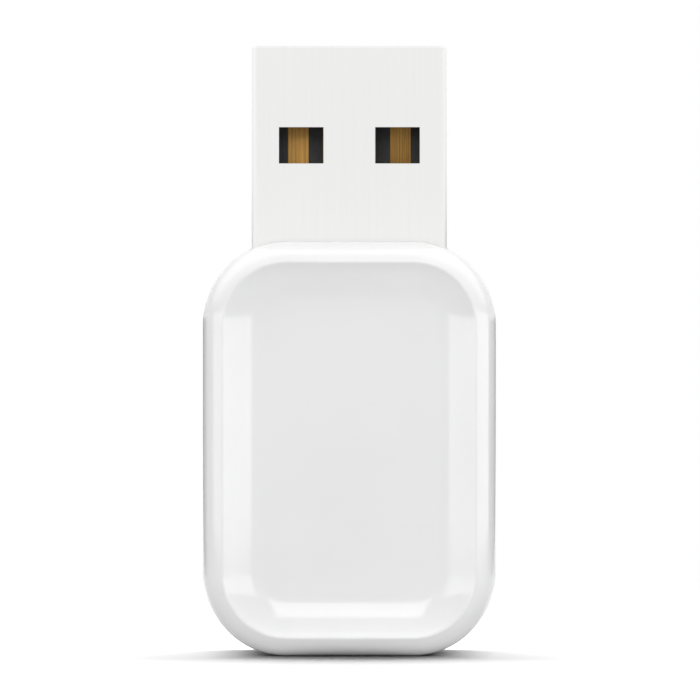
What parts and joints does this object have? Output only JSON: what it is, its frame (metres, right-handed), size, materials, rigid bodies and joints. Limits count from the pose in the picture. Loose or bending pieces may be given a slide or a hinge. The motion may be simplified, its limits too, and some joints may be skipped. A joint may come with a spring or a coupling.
{
  "type": "usb radio stick",
  "caption": "White glossy usb radio stick: a rounded upright housing with a sunk dished face, and a steel plug with windows that points up from its end.",
  "frame": {"origin": "middle of the housing's flat end, in the plane where the two covers meet; the stick stands on this end", "axes": "+Z along the way the plug points, +Y towards the plain back, so that the dished face looks along -Y; X is the width"},
  "size_m": [0.018, 0.0084, 0.0375],
  "materials": {
    "housing_white": "glossy moulded white",
    "plug_steel": "nickel plated sheet, satin",
    "insulator_black": "moulded black",
    "contact_gold": "gold plated strip with fine wipe lines",
    "board_green": "solder mask over glass laminate",
    "antenna_gold": "gold plated stamped strip",
    "chip_black": "moulded chip package",
    "crystal_lid": "metal lid on a ceramic base",
    "shield_tin": "tinned sheet",
    "capacitor_tan": "fired ceramic with tinned ends",
    "inductor_grey": "dark fired ferrite",
    "filter_white": "white fired ceramic",
    "resistor_black": "dark glaze on ceramic"
  },
  "bodies": {
    "root": {"front_cover": "housing_white", "rear_cover": "housing_white", "plug_shell": "plug_steel", "plug_insulator": "insulator_black", "contact_power": "contact_gold", "contact_data_minus": "contact_gold", "contact_data_plus": "contact_gold", "contact_ground": "contact_gold", "circuit_board": "board_green", "antenna": "antenna_gold", "radio_chip": "chip_black", "timing_crystal": "crystal_lid", "radio_shield_can": "shield_tin", "matching_capacitor_1": "capacitor_tan", "matching_capacitor_2": "capacitor_tan", "matching_inductor_1": "inductor_grey", "matching_inductor_2": "inductor_grey", "rf_filter": "filter_white", "voltage_regulator": "chip_black", "supply_capacitor_1": "capacitor_tan", "supply_capacitor_2": "capacitor_tan", "usb_bridge_chip": "chip_black", "surge_protector": "chip_black", "ferrite_bead": "inductor_grey", "input_capacitor": "capacitor_tan", "series_resistor_1": "resistor_black", "series_resistor_2": "resistor_black", "pull_resistor_1": "resistor_black", "pull_resistor_2": "resistor_black", "decoupling_capacitor_1": "capacitor_tan", "decoupling_capacitor_2": "capacitor_tan", "decoupling_capacitor_3": "capacitor_tan", "decoupling_capacitor_4": "capacitor_tan"}
  },
  "joints": []
}
